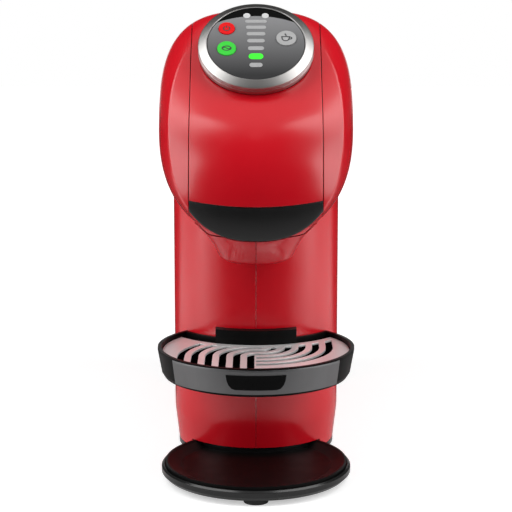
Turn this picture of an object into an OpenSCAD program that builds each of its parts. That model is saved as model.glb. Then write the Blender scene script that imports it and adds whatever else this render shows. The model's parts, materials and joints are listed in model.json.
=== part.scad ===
// Pod coffee machine: slim red body, lift-up locking flap with a selector dial,
// sliding pod holder, height-adjustable magnetic drip tray and a lift-off rear water tank.
// Millimetres. Origin under the middle of the machine on the worktop, front towards -Y.

/* [Head] */
// Overall width of the head
head_w = 112; // [108:1:118]
// Height of the widest level of the head
head_z = 207; // [202:1:210]
// Rise of the crown above the widest level
head_up = 63.5; // [61:0.5:66]
// Drop of the head below the widest level
head_down = 62; // [60:0.5:63]
// Radius of the rounded nose of the front face
nose_r = 61; // [57:0.5:64]
// Width of the crease that frames the front face
crease_w = 98; // [92:1:104]
// Wall of the red mouldings
wall = 2.4; // [2:0.1:3]

/* [Column] */
// Width of the column
column_w = 101.2; // [98:0.4:104]
// Middle of the round column front, behind the front of the machine
column_back = 124; // [120:1:128]
// Level at which the red mouldings begin
column_z = 11; // [11:0.5:12]
// Back plane of the body, behind the origin
body_back = 95; // [92:1:97]

/* [Flap] */
// Width of the locking flap
flap_w = 73.8; // [72:0.4:76]
// Seam around the flap and the pod holder
seam = 0.4; // [0.3:0.05:0.6]
// Radius of the flap's hinge barrel
barrel_r = 24; // [22:0.5:25]
// Diameter of the hinge pin
hinge_pin_d = 6; // [5:0.5:7]
// Throw of the crank that drives the injector
crank_throw = 12; // [10:0.5:13]

/* [Dial] */
// Width of the dial ring's metal, from its bore to its outside
ring_w = 5.05; // [4:0.05:5.6]
// Height of the dial ring's face above its seat
dial_h = 7.8; // [7:0.1:8.6]
// Diameter of the display panel
display_d = 55.1; // [52:0.1:55.4]
// Travel of the three buttons
button_travel = 0.7; // [0.4:0.1:0.9]

/* [Pod] */
// Distance of the pod axis behind the front of the machine
pod_back = 50; // [49:0.5:52]
// Rim diameter of the pod
pod_d = 54; // [52:0.5:55]
// Outer diameter of the pod holder's ring
holder_d = 62; // [60:0.5:62.5]

/* [Tray] */
// Outer diameter of the drip tray
tray_d = 115; // [111:1:116]
// Level of the drip tray's rim
tray_z = 79; // [76:1:84]
// Depth of the drip tray
tray_h = 17.5; // [16:0.5:19]
// Wall of the drip tray
tray_wall = 2.2; // [1.8:0.1:2.6]
// Thickness of the steel grid
grid_t = 1.2; // [1:0.1:1.6]

/* [Base] */
// Diameter of the round base
base_d = 111; // [109:1:112]
// Height of the rubber feet
foot_h = 3; // [2.5:0.5:3.5]
// Diameter of the cord gland's bore
gland_d = 7; // [6:0.5:8]

/* [Tank] */
// Width of the water tank
tank_w = 98; // [90:1:100]
// Depth of the water tank
tank_depth = 58; // [50:1:60]
// Height of the water tank
tank_h = 202; // [180:1:204]
// Wall of the water tank
tank_wall = 2.4; // [2:0.1:3]

/* [Hidden] */

red = "crimson";
black = "#1b1a1c";
steel = "silver";
round_fn = 96;
ring_points = 56;

// Clearances
gap = 0.3;          // between neighbouring pieces
run = 0.06;         // radial clearance of a turning or sliding fit
through = 60;       // length of a cutter that passes right through

// Driving places that follow from the sizes above
front_y = -156;
column_y = front_y + column_back;
column_r = column_w / 2;
head_y = -85;
head_lean = 0.4245;         // how far the head's widest line leans back per unit of height
crease_z = head_z + 3;
crease_up = 56;
crease_down = 63.5;
nose_y = -142 + nose_r;
nose_z = 171.9;
dial_tilt = 46.4;           // elevation of the dial's axis above the horizontal
display_r = display_d / 2;
ring_bore = display_r + gap;
dial_d = 2 * (ring_bore + ring_w);
dial_up = 46.2;             // distance of the dial's axis up the flat of the face
flat_y = nose_y - nose_r * cos(dial_tilt);
flat_z = nose_z + nose_r * sin(dial_tilt);
dial_y = flat_y + dial_up * sin(dial_tilt);
dial_z = flat_z + dial_up * cos(dial_tilt);
cone_level = 26;            // level at which the column reaches its full width
cone_in = 2.3;              // how far the column draws in at its foot
flap_half = flap_w / 2;
seam_half = flap_half + seam;
hinge_y = -14;
hinge_z = head_z + head_up * 0.957 - barrel_r;
hinge_r = hinge_pin_d / 2;
flap_low = 166.5;           // middle of the flap's lower edge
edge_r = 275;               // radius of the flap's lower edge, seen from the front
pod_y = front_y + pod_back;
holder_top = flap_low - 0.6;
holder_low = 148.5;
holder_slant = 4;           // size of the slanted lower edge of the pod holder's ring
mouth_y = -116;             // back of the pod holder's front moulding
rail_z = 160.6;             // underside of the pod holder's side flanges
rail_t = 2.6;
tray_y = -99;
tray_r = tray_d / 2;
tray_low = tray_z - tray_h;
band_half = 55;             // angle to which the tray's band reaches on either side
base_y = -101;
base_r = base_d / 2;
dish_r = base_r - 2.3;
frame_top = column_z - gap;
skirt_z = foot_h + 3.1;     // level at which the mouldings end beside the round base
skirt_in = wall + 2 * gap;  // how far the base's upstand stays inside them
tank_low = 34.2;
tank_y = body_back + 3 + tank_depth / 2;
valve_y = 125;
coupling_r = 9;
floor_z = column_z + 0.8;
shelf_z = 138;
board_x = 40;
pump_x = -20;
pump_y = 45;
heater_x = 13;
magnet_x = 14;
carriage_z = 196;
rod_x = 16;
rod_y = -76;
rod_r = 2.5;

// ---------- shared shapes ----------

// Plate cut from an outline drawn in the Y-Z plane, between two places on X
module side_plate(x0, x1) translate([x0, 0, 0]) rotate([90, 0, 90]) linear_extrude(x1 - x0) children();

module both_sides() for (side = [0, 1]) mirror([side, 0, 0]) children();

// Frame of the dial: local Z is its axis, 0 is the top of the ring
module on_dial(h = 0)
    translate([0, dial_y, dial_z]) rotate([90 - dial_tilt, 0, 0]) translate([0, 0, dial_h + h]) children();

module block(x0, x1, y0, y1, z0, z1) translate([x0, y0, z0]) cube([x1 - x0, y1 - y0, z1 - z0]);

module post(x, y, z0, z1, r) translate([x, y, z0]) cylinder(h = z1 - z0, r = r, $fn = round_fn);

module rod_along_x(y, z, x0, x1, r)
    translate([x0, y, z]) rotate([0, 90, 0]) cylinder(h = x1 - x0, r = r, $fn = round_fn);

module rod_along_y(x, z, y0, y1, r)
    translate([x, y0, z]) rotate([-90, 0, 0]) cylinder(h = y1 - y0, r = r, $fn = round_fn);

module round_rect(x0, x1, y0, y1, r) {
    translate([x0 + r, y0]) square([x1 - x0 - 2 * r, y1 - y0]);
    translate([x0, y0 + r]) square([x1 - x0, y1 - y0 - 2 * r]);
    for (x = [x0 + r, x1 - r], y = [y0 + r, y1 - r]) translate([x, y]) circle(r, $fn = round_fn);
}

function sign1(v) = v < 0 ? -1 : 1;
function mix(a, b, k) = a + (b - a) * k;
function smooth(k) = let(c = min(1, max(0, k))) c * c * (3 - 2 * c);

// Point of an oval with one exponent above its middle and another below it
function oval(a, w, up, down, n_up, n_down) =
    let(n = sin(a) >= 0 ? n_up : n_down, h = sin(a) >= 0 ? up : down)
    [w * sign1(cos(a)) * pow(abs(cos(a)), 2 / n), h * sign1(sin(a)) * pow(abs(sin(a)), 2 / n)];

// Side profile of the front face: a round nose that runs into the flat of the dial
function face_profile(z) = z < flat_z
    ? nose_y - sqrt(nose_r * nose_r - (z - nose_z) * (z - nose_z))
    : flat_y + (z - flat_z) * tan(dial_tilt);
// The face is bowed from side to side, less so around the dial
function face_bow(z) = mix(79, 260, smooth((z - 190) / 55));
function face_y(x, z) = face_profile(z) + x * x / (2 * face_bow(z));

// Rings of the head, from the middle of the face to its back end, drawn in by t
function face_ring(k, t) = [for (i = [0:ring_points - 1])
    let(p = k * oval(360 * i / ring_points, crease_w / 2 - t, crease_up - t, crease_down - t, 2.4, 2.4))
    [p[0], face_y(p[0], crease_z + p[1]) + t, crease_z + p[1]]];
function wide_ring(k, t, back) = [for (i = [0:ring_points - 1])
    let(n = 3 + 0.6 * k, half = mix(head_w / 2, column_r, pow(k, 1.3)) - t,
        up = head_up - 24.5 * pow(k, 1.2) - t,
        p = oval(360 * i / ring_points, half, up, head_down - t, n, 2.4))
    [p[0], mix(head_y, back, k) + head_lean * pow(1 - k, 1.5) * p[1], head_z + p[1]]];
function band_ring(t, back) = let(a = face_ring(1, t), b = wide_ring(0, t, back))
    [for (i = [0:ring_points - 1])
        [mix(a[i][0], b[i][0], 0.72), mix(a[i][1], b[i][1], 0.5), mix(a[i][2], b[i][2], 0.72)]];

// Closed solid through a list of rings, with a fan at either end
module ring_solid(rings) {
    n = len(rings[0]);
    m = len(rings);
    mean0 = [for (c = [0:2]) [for (p = rings[0]) p[c]] * [for (p = rings[0]) 1] / n];
    mean1 = [for (c = [0:2]) [for (p = rings[m - 1]) p[c]] * [for (p = rings[m - 1]) 1] / n];
    points = concat([for (r = rings) each r], [mean0, mean1]);
    faces = concat(
        [for (i = [0:m - 2], j = [0:n - 1]) [i * n + j, i * n + (j + 1) % n, (i + 1) * n + (j + 1) % n]],
        [for (i = [0:m - 2], j = [0:n - 1]) [i * n + j, (i + 1) * n + (j + 1) % n, (i + 1) * n + j]],
        [for (j = [0:n - 1]) [m * n, (j + 1) % n, j]],
        [for (j = [0:n - 1]) [m * n + 1, (m - 1) * n + j, (m - 1) * n + (j + 1) % n]]);
    polyhedron(points, faces);
}

module head_form(t = 0, back = body_back)
    ring_solid(concat([for (k = [0.3, 0.55, 0.78, 0.92, 1]) face_ring(k, t)], [band_ring(t, back)],
        [for (k = [0, 0.12, 0.28, 0.5, 0.75, 1]) wide_ring(k, t, back)]));

// Plan of the column, drawn in by t
module column_plan(t, back) {
    translate([0, column_y]) circle(column_r - t, $fn = round_fn);
    translate([t - column_r, column_y]) square([column_w - 2 * t, back - column_y]);
}

module column_form(t = 0, back = body_back, low = skirt_z) hull() {
    translate([0, 0, low]) linear_extrude(0.2) column_plan(t + cone_in, back);
    translate([0, 0, cone_level]) linear_extrude(head_z - 1 - cone_level) column_plan(t, back);
}

// Round tube through a list of points; ref is a direction that the route never follows
function unit(v) = v / norm(v);
function curve(p, steps) = [for (i = [0:len(p) - 2], s = [0:steps - 1])
        let(a = p[max(i - 1, 0)], b = p[i], c = p[i + 1], d = p[min(i + 2, len(p) - 1)], k = s / steps)
        0.5 * (2 * b + (c - a) * k + (2 * a - 5 * b + 4 * c - d) * k * k
            + (3 * b - a - 3 * c + d) * k * k * k)];
module tube(route, r, ref, sides = 8, steps = 4) {
    path = concat(curve(route, steps), [route[len(route) - 1]]);
    last = len(path) - 1;
    ring_solid([for (i = [0:last])
        let(t = unit(path[min(i + 1, last)] - path[max(i - 1, 0)]), u = unit(cross(ref, t)), v = cross(u, t))
        [for (j = [0:sides - 1]) path[i] + r * (cos(360 * j / sides) * u + sin(360 * j / sides) * v)]]);
}

// ---------- base ----------

// Plan of the base under the column and the tank, drawn in by t
module frame_plan(t) {
    half = column_r - cone_in - t;
    round_rect(-half, half, column_y, body_back + tank_depth - 1 - t, 8 - t);
    translate([0, column_y]) circle(half, $fn = round_fn);
    translate([-half, column_y]) square([2 * half, 20]);
}

// Its upstand, inside the mouldings and flush behind them, drawn in by t
module frame_upstand(t) {
    intersection() {
        frame_plan(skirt_in + t);
        translate([-80, -200]) square([160, 200 + body_back + 3]);
    }
    intersection() {
        frame_plan(t);
        translate([-80, body_back - 3 + gap + t]) square([160, 100]);
    }
}

module base_frame() color(black) difference() {
    union() {
        translate([0, base_y, foot_h]) rotate_extrude($fn = round_fn)
            polygon([[0, 0], [base_r - 2.2, 0], [base_r, 2.2], [base_r, 5.2], [base_r - 0.9, 6.2],
                [dish_r + 0.6, 6.2], [dish_r + 0.6, 3], [0, 3]]);
        translate([0, 0, foot_h]) linear_extrude(skirt_z - gap - foot_h) frame_plan(0);
        translate([0, 0, foot_h]) linear_extrude(frame_top - foot_h) frame_upstand(0);
    }
    translate([0, 0, foot_h + 2.6]) linear_extrude(through) frame_upstand(2.4);
}

module base_dish() color(black) difference() {
    translate([0, base_y, foot_h + 3]) rotate_extrude($fn = round_fn)
        polygon([[0, gap], [dish_r, gap], [dish_r, 5], [dish_r - 1.2, 5], [dish_r - 2.4, 4.2],
            [dish_r - 9, 1.8], [0, 1.8]]);
    translate([0, column_y, 0]) cylinder(h = through, r = column_r - cone_in + gap, $fn = round_fn);
}

module rubber_feet() color("#101010") {
    post(0, front_y + 10, 0, foot_h, 7);
    for (x = [-38, 38], y = [-40, body_back + tank_depth - 16]) post(x, y, 0, foot_h, 6.5);
}

// ---------- body ----------

// Zone of the locking flap, grown by g
module flap_zone(g) {
    half = flap_half + g;
    difference() {
        union() {
            side_plate(-half, half) polygon([[-200, flap_low - 6], [-95, flap_low - 6], [-70, head_z],
                [hinge_y - barrel_r * 0.6, hinge_z], [hinge_y, hinge_z], [hinge_y, 300], [-200, 300]]);
            rod_along_x(hinge_y, hinge_z, -half, half, barrel_r + g);
        }
        // Curved lower edge
        translate([0, -300, flap_low - edge_r - g]) rotate([-90, 0, 0])
            translate([0, -2 * edge_r, 0]) difference() {
                translate([-100, -40 + edge_r, 0]) cube([200, 60, 400]);
                cylinder(h = 400, r = edge_r, $fn = 180);
            }
    }
}

module body_shell() difference() {
    union() {
        head_form();
        column_form();
    }
    head_form(wall, body_back + 5);
    column_form(wall, body_back + 5, skirt_z - 0.1);
    // Over the round base
    post(0, base_y, 0, column_z, base_r + gap);
    block(-80, 80, body_back - 3, body_back + 20, 0, 300);
    flap_zone(seam);
    // Mouth of the pod holder, and its way in
    block(-seam_half, seam_half, -200, mouth_y - 2, holder_low - 10, flap_low + 6);
    block(-seam_half, seam_half, mouth_y - 3, column_y - 44, holder_low - 1.6, flap_low + 6);
    // Underside over the spout cover
    post(0, pod_y, holder_low - 8, holder_low + 8, holder_d / 2 - 1);
    block(1 - holder_d / 2, holder_d / 2 - 1, pod_y, column_y - 30, holder_low - 8, holder_low + 8);
}

screw_x = column_r - 8;
screw_levels = [40, 120, 200];
cover_t = 2.7;

module shell_half(side) difference() {
    union() {
        intersection() {
            body_shell();
            if (side < 0) block(-80, -0.1, -200, 200, 0, 300);
            else block(0.1, 80, -200, 200, 0, 300);
        }
        // Screw bosses of the back cover
        for (z = screw_levels) {
            rod_along_y(side * screw_x, z, body_back - 16, body_back - cover_t - gap, 3.4);
            block(side * (screw_x + 3.4) - 3.3, side * (screw_x + 3.4) + 3.3, body_back - 16,
                body_back - cover_t - gap, z - 1, z + 1);
        }
    }
    for (z = screw_levels) rod_along_y(side * screw_x, z, body_back - 14, body_back, 1.45);
}

module shell_left() color(red) shell_half(-1);

module shell_right() color(red) shell_half(1);

module back_cover() color(black) difference() {
    intersection() {
        union() {
            head_form();
            column_form(low = column_z);
        }
        block(-80, 80, body_back - cover_t, body_back, 0, 300);
    }
    rod_along_y(0, 22, 0, 200, 5);
    for (x = [-1, 1], z = screw_levels) rod_along_y(x * screw_x, z, 0, 200, 1.7);
    for (z = [150:10:220]) block(-24, 24, 0, 200, z, z + 3);
}

module tank_seat() color(black) difference() {
    union() {
        translate([0, 0, column_z]) linear_extrude(tank_low - gap - column_z)
            round_rect(cone_in - column_r, column_r - cone_in, body_back + gap, body_back + tank_depth - 1, 8);
    }
    translate([0, 0, column_z - 1]) linear_extrude(tank_low - gap - column_z - 2)
        round_rect(cone_in - column_r + 3, column_r - cone_in - 3, body_back + gap + 3,
            body_back + tank_depth - 4, 6);
    post(0, valve_y, 0, 60, coupling_r - 2);
    rod_along_y(0, 22, body_back - 2, body_back + 8, 4.4);
    rod_along_y(-30, 20, body_back + 20, 200, 5);
}

module cable_gland() color("#101010") difference() {
    union() {
        rod_along_y(-30, 20, body_back + tank_depth - 8, body_back + tank_depth + 1, 4.9);
        rod_along_y(-30, 20, body_back + tank_depth - 0.8, body_back + tank_depth + 2, 7);
        rod_along_y(-30, 20, body_back + tank_depth - 7.5, body_back + tank_depth - 4.5, 6.5);
    }
    rod_along_y(-30, 20, body_back, 200, gland_d / 2);
}

// Screws that hold the head frame on the shelf
screw_row = [-26, -8, 8, 26];

module chassis() color("dimgray") difference() {
    union() {
        translate([0, 0, floor_z]) linear_extrude(3) intersection() {
            column_plan(7, body_back - 7);
            translate([-60, -60]) square([120, 200]);
        }
        block(-37.5, 37.5, body_back - 10, body_back - 7, floor_z, 205);
        block(-43, 43, -30, body_back - 20, shelf_z, shelf_z + 3);
        block(-37.5, 37.5, 0, body_back - 8, shelf_z, shelf_z + 3);
        for (x = [-1, 1]) block(x * 41 - 3, x * 41 + 3, -30, -24, floor_z, shelf_z + 1);
        // Cradle of the pump
        block(pump_x - 15, pump_x + 15, pump_y + 20, body_back - 9, 58, 62);
        block(pump_x - 15, pump_x + 15, pump_y + 20, body_back - 9, 94, 98);
        // Ledge of the control board
        block(board_x - 8, board_x + 3.5, body_back - 18.7, body_back - 9, 60, 63);
    }
    post(pump_x, pump_y, shelf_z - 5, shelf_z + 5, 8);
    for (x = screw_row) post(x, hinge_y - 6, shelf_z, shelf_z + 10, 1.45);
    rod_along_y(0, 22, 0, 200, 6);
    for (x = [-22, 22]) rod_along_y(x, 180, 0, 200, 11);
}

module cheek_outline() {
    polygon([[-116, rail_z - 3.4], [-116, 190], [-84, 237], [-62, 240], [hinge_y - 6, hinge_z + 8.5],
        [hinge_y, hinge_z + 10], [hinge_y + 10, hinge_z], [hinge_y + 12, shelf_z + 3.3],
        [-30, shelf_z + 3.3], [-30, rail_z + 1], [-76.5, rail_z + 1], [-76.5, rail_z - 3.4]]);
}

module head_frame() color("dimgray") difference() {
    union() {
        both_sides() side_plate(34.6, 36.6) cheek_outline();
        // Rails of the pod holder
        both_sides() for (z = [rail_z - 3.4, rail_z + rail_t + gap])
            block(32.2, 34.8, -116, -76, z, z + (z < rail_z ? 3.1 : 2.5));
        // Foot and cross members
        block(-36, 36, -30, hinge_y + 12, shelf_z + 3.3, shelf_z + 6);
        block(-36, 36, rod_y - 6, rod_y + 6, holder_top + 10, holder_top + 14);
        block(-36, 36, rod_y - 6, rod_y + 6, carriage_z + 36, carriage_z + 39);
        both_sides() rod_along_x(hinge_y, hinge_z, 33.4, 36.6, 9);
    }
    rod_along_x(hinge_y, hinge_z, -50, 50, hinge_r + run);
    for (x = [-rod_x, rod_x]) post(x, rod_y, holder_top, carriage_z + 60, rod_r + run / 2);
    post(0, rod_y, carriage_z, carriage_z + 60, 4);
    for (x = screw_row) post(x, hinge_y - 6, shelf_z, shelf_z + 10, 1.45);
    both_sides() rod_along_x(-66, 176, 30, 40, 7);
    both_sides() rod_along_x(-90, 176, 30, 40, 5);
}

// Bowl under the pod holder, with the outlet
module bowl_profile(t) polygon([[0, t], [17 - t * 0.5, t], [21 - t, 2.6 + t * 0.6], [25.3 - t, 10.9],
    [29.8 - t, 16.4], [35 - t, 21.8], [35 - t, 26], [0, 26]]);
module bowl(t) {
    translate([0, pod_y, 131]) rotate_extrude($fn = round_fn) bowl_profile(t);
    translate([0, pod_y, 131]) rotate([-90, 0, 0]) mirror([0, 1, 0]) linear_extrude(30) {
        bowl_profile(t);
        mirror([1, 0, 0]) bowl_profile(t);
    }
}
module spout_cover() color(red) difference() {
    bowl(0);
    bowl(wall);
    // Seat against the column front
    translate([0, column_y, 100]) cylinder(h = 80, r = column_r + gap, $fn = round_fn);
    // Under the head, and clear of the pod holder and its way
    head_form(-gap);
    translate([0, 0, -2 * gap]) {
        holder_form(gap);
        holder_way(gap);
    }
    post(0, pod_y, 100, 160, 16);
}

// ---------- water works ----------

module pump_body() color("ivory") {
    post(pump_x, pump_y, 40, 118, 9);
    post(pump_x, pump_y, 30, 41, 3);
    post(pump_x, pump_y, 104, 110, 12);
    post(pump_x, pump_y, 117, 126, 4);
}

module pump_coil() color("darkslategray") difference() {
    union() {
        block(pump_x - 17, pump_x + 17, pump_y - 15, pump_y + 15, 62, 64);
        block(pump_x - 17, pump_x + 17, pump_y - 15, pump_y + 15, 92, 94);
        block(pump_x - 17, pump_x - 15, pump_y - 15, pump_y + 15, 62, 94);
        block(pump_x + 15, pump_x + 17, pump_y - 15, pump_y + 15, 62, 94);
        post(pump_x, pump_y, 63, 93, 14);
    }
    post(pump_x, pump_y, 50, 100, 9.05);
}

module pump_mounts() color("#101010") for (z = [57, 97.5]) difference() {
    union() {
        post(pump_x, pump_y, z - 1.7, z + 2.2, 14);
        block(pump_x - 12, pump_x + 12, pump_y + 4, pump_y + 19.8, z - 1.5, z + 2);
    }
    post(pump_x, pump_y, z - 10, z + 10, 9.05);
}

module flow_meter() color("white") {
    post(0, 60, floor_z + 3.1, floor_z + 19, 13);
    rod_along_y(0, 22, 42, 49, 3);
    rod_along_y(0, 22, 71, 77, 3);
}

module heater_block() color(steel) difference() {
    union() {
        translate([heater_x, 0, shelf_z + 6.2]) linear_extrude(26) round_rect(-27, 27, 6, 72, 16);
        for (i = [0:5]) translate([heater_x, 0, shelf_z + 10 + i * 4]) linear_extrude(1.6)
            round_rect(-28, 28, 5, 73, 17);
        for (x = [-18, 18], y = [20, 58]) post(heater_x + x, y, shelf_z + 3.1, shelf_z + 7, 4);
    }
    for (x = [-12, 12]) post(heater_x + x, 20, shelf_z + 24, 200, 3.5);
}

module heater_ports() color("goldenrod") for (x = [heater_x - 12, heater_x + 12]) difference() {
    union() {
        post(x, 20, shelf_z + 24.2, shelf_z + 36, 3.4);
        translate([x, 20, shelf_z + 32.4]) cylinder(h = 3, r = 6, $fn = 6);
        post(x, 20, shelf_z + 35, shelf_z + 42, 2.4);
    }
    post(x, 20, shelf_z + 20, 200, 1.4);
}

module thermostat() color("tan") translate([heater_x, 48, shelf_z + 32.3]) {
    cylinder(h = 5, r = 9, $fn = round_fn);
    cylinder(h = 8, r = 6, $fn = round_fn);
    for (x = [-4, 4]) block(x - 2, x + 2, -0.5, 0.5, 7, 15);
}

module suction_hose() color("whitesmoke")
    tube([[0, valve_y - coupling_r - 2, 22], [0, 102, 22], [0, 88, 22], [0, 77.3, 22]], 3.6, [0, 0, 1]);

module pump_hose() color("whitesmoke")
    tube([[0, 41.7, 22], [0, 36, 22], [-3, 28, 22], [-11, 24, 22], [-18, 29, 22], [-20, 38, 22], [-20, 44, 24],
        [-20, 45, 29.2]], 2.9, [1, 0.3, 1]);

module brew_hose() color("whitesmoke") {
    tube([[pump_x, pump_y, 126.4], [-20, 45, 140], [-20, 44, 156], [-20, 40, 172], [-16, 30, 186],
        [-7, 22, 192], [0, 20, 189], [heater_x - 12, 20, 180.5]], 2.4, [0.3, 1, 0]);
    tube([[heater_x + 12, 20, 180.5], [25, 18, 188], [22, 8, 196], [14, -16, 204], [6, -44, 218],
        [1, -56, 232], [0, -64, 241], [0, -73, 244], [0, rod_y, 241],
        [0, rod_y, carriage_z + 42]], 2.4, [1, 0, 0]);
}

// The control board ends just in front of its ledge
board_back = body_back - 19;

module control_board() color("darkgreen")
    block(board_x, board_x + 1.6, board_back - 98, board_back, 45, 125);

module board_parts() color("slategray") {
    for (z = [60, 82]) block(board_x - 16, board_x - 0.1, board_back - 84, board_back - 66, z, z + 16);
    for (y = [28, 40, 52]) rod_along_x(board_back - y, 68, board_x - 14, board_x - 0.1, 5);
    block(board_x - 12, board_x - 0.1, board_back - 56, board_back - 16, 100, 106);
    block(board_x - 5, board_x - 0.1, board_back - 54, board_back - 32, 80, 92);
}

module steel_strip() color(steel) difference() {
    strip_r = column_r - wall - gap;
    intersection() {
        translate([0, column_y, cone_level + 1]) cylinder(h = 92, r = strip_r, $fn = round_fn);
        block(-26, 26, -100, -40, 0, 200);
    }
    translate([0, column_y, 0]) cylinder(h = 200, r = strip_r - 1, $fn = round_fn);
}

// ---------- brewing head ----------

module guide_rods() color(steel)
    for (x = [-rod_x, rod_x]) post(x, rod_y, holder_top + 9, carriage_z + 40, rod_r);

module water_nozzle() color("goldenrod") difference() {
    union() {
        post(0, rod_y, carriage_z + 12.5, carriage_z + 41.5, 2.6);
        post(0, rod_y, carriage_z + 32.6, carriage_z + 35.8, 7);
    }
    post(0, rod_y, carriage_z, carriage_z + 60, 1.4);
}

module hinge_pin() color(steel) rod_along_x(hinge_y, hinge_z, -36.8, 36.8, hinge_r);

module flap_spring() color(steel) for (side = [-1, 1])
    tube([for (i = [0:26])
        [side * (20 + i * 0.22), hinge_y + 5 * cos(i * 72), hinge_z + 5 * sin(i * 72)]], 0.5, [1, 0, 0], 6, 1);

module body_screws() color(steel) for (x = [-1, 1], z = screw_levels) {
    rod_along_y(x * screw_x, z, body_back - 12, body_back + 0.5, 1.4);
    rod_along_y(x * screw_x, z, body_back + 0.1, body_back + 1.4, 3);
}

module frame_screws() color(steel) for (x = screw_row) {
    post(x, hinge_y - 6, shelf_z + 1, shelf_z + 6.2, 1.4);
    post(x, hinge_y - 6, shelf_z + 6.1, shelf_z + 8, 2.8);
}

module flap_cover() color(red) difference() {
    intersection() {
        difference() {
            head_form();
            difference() {
                head_form(wall);
                difference() {
                    rod_along_x(hinge_y, hinge_z, -60, 60, barrel_r + 5);
                    rod_along_x(hinge_y, hinge_z, -61, 61, barrel_r - wall);
                    block(-61, 61, -200, hinge_y, 0, 300);
                    side_plate(-61, 61)
                        polygon([[hinge_y, hinge_z], [hinge_y + 60, hinge_z + 30], [80, 0], [-200, 0]]);
                }
            }
        }
        flap_zone(0);
    }
    // Hole of the dial's carrier
    on_dial(-26) cylinder(h = 40, r = dial_d / 2 - 0.5, $fn = round_fn);
    // Face below the flap's own wall
    block(-80, 80, -112, 40, 100, 200);
}

module flap_arm_outline() {
    polygon([[-128, 176], [-124, 176], [-108, 214], [-104, 220], [-66, 247], [hinge_y - 10, hinge_z - 8],
        [hinge_y - 15, hinge_z - 9], [hinge_y - 6, hinge_z - 8.5], [hinge_y + 7, hinge_z - 4],
        [hinge_y + 7, hinge_z + 5], [hinge_y, hinge_z + 9], [hinge_y, 280], [-80, 280], [-150, 225],
        [-150, 176]]);
}

module flap_frame() color(black) difference() {
    union() {
        intersection() {
            head_form(wall + gap);
            union() {
                both_sides() side_plate(29, 33) flap_arm_outline();
                side_plate(-32, 32) polygon([[-150, 180], [-122, 180], [-119, 187], [-150, 187]]);
                side_plate(-32, 32) polygon([[-52, 258], [-42, 255], [-42, 280], [-52, 280]]);
            }
            rod_along_x(hinge_y, hinge_z, -40, 40, 200);
        }
        both_sides() rod_along_x(hinge_y, hinge_z, 28.4, 33.1, 8);
        // Crank pins
        both_sides()
            rod_along_x(hinge_y - crank_throw * cos(25), hinge_z - crank_throw * sin(25), 24.6, 29.2, 1.6);
    }
    rod_along_x(hinge_y, hinge_z, -50, 50, hinge_r + run);
    on_dial(-dial_h - 3) cylinder(h = 40, r = dial_d / 2 + 0.6, $fn = round_fn);
    on_dial(-40) cylinder(h = 60, r = display_r + 0.6, $fn = round_fn);
}

// ---------- dial and display ----------

carrier_r = ring_bore - run;      // neck that the dial ring turns on

module dial_carrier() color(black) difference() {
    on_dial(0) union() {
        translate([0, 0, -dial_h - 2.7]) cylinder(h = 2.2, r = dial_d / 2 - 1, $fn = round_fn);
        translate([0, 0, -16.5]) cylinder(h = 13.6, r = carrier_r, $fn = round_fn);
    }
    on_dial(0) {
        translate([0, 0, -14.5]) cylinder(h = 30, r = display_r - 2, $fn = round_fn);
        translate([0, 0, -20]) cylinder(h = 30, r = 6, $fn = round_fn);
    }
}

module dial_ring() color(steel) on_dial(0) difference() {
    rotate_extrude($fn = round_fn) difference() {
        r_in = ring_bore;
        r_out = dial_d / 2;
        polygon([[r_in, -dial_h - 0.2], [r_out - 0.8, -dial_h - 0.2], [r_out - 0.3, -dial_h + 0.4],
            [r_out, -dial_h + 0.6], [r_out, -3.6], [r_out - 0.4, -3.2], [r_out, -2.8], [r_out, -2.2],
            [r_out - 0.6, -1.66], [r_in + 0.4, 0], [r_in, -0.4]]);
    }
}

// Places of the controls on the display panel: right of its middle and up its slope
power_at = [10.85 - display_r, 11.4];
boost_at = [10.95 - display_r, -4.2];
cup_at = [display_r - 10.35, 3.7];
lamp_at = [5.3, display_r - 5.85];
power_r = 4.6;
boost_r = 5.3;
cup_r = 5.7;
bar_rows = 7;
bar_top = display_r - 10.35;             // place of the topmost bar
bar_pitch = 4.5;            // the bars lie further apart towards the front
lit_bar = 5;                // the cup size shown
function bar_half(i) = mix(6.2, 3.7, i / (bar_rows - 1));
function bar_rise(i) = i == lit_bar ? 2.1 : mix(1.2, 1.6, i / (bar_rows - 1));
function bar_y(i) = bar_top - bar_pitch * i - 0.19 * i * i;
module bar_plan(i, grow) {
    h = bar_rise(i) + grow;
    reach = bar_half(i) - bar_rise(i);
    for (x = [-1, 1]) translate([x * reach, bar_y(i)]) circle(h, $fn = 32);
    translate([-reach, bar_y(i) - h]) square([2 * reach, 2 * h]);
}

module display_panel() color("#3a3a3d") on_dial(0) difference() {
    union() {
        translate([0, 0, -2.7]) cylinder(h = 2.3, r = display_r, $fn = round_fn);
    }
    for (b = [[power_at, power_r], [boost_at, boost_r], [cup_at, cup_r]])
        translate([b[0][0], b[0][1], -5]) cylinder(h = 10, r = b[1] + 0.15, $fn = round_fn);
    for (i = [0:bar_rows - 1]) translate([0, 0, -1.2]) linear_extrude(5) bar_plan(i, 0.05);
    for (x = [-1, 1]) translate([x * lamp_at[0], lamp_at[1], -1.2]) cylinder(h = 5, r = 2.05, $fn = 32);
}

module level_bars() color("lightgray") on_dial(0)
    for (i = [0:bar_rows - 1]) translate([0, 0, -1.15]) linear_extrude(0.85) bar_plan(i, 0);

module status_lamps() color("lightgray") on_dial(0)
    for (x = [-1, 1]) translate([x * lamp_at[0], lamp_at[1], -1.15]) cylinder(h = 0.85, r = 2, $fn = 32);

module display_board() color("darkgreen") difference() {
    on_dial(-9.6) cylinder(h = 1.6, r = display_r - 2.3, $fn = round_fn);
    on_dial(-12) cylinder(h = 9, r = 3, $fn = round_fn);
}

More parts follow.
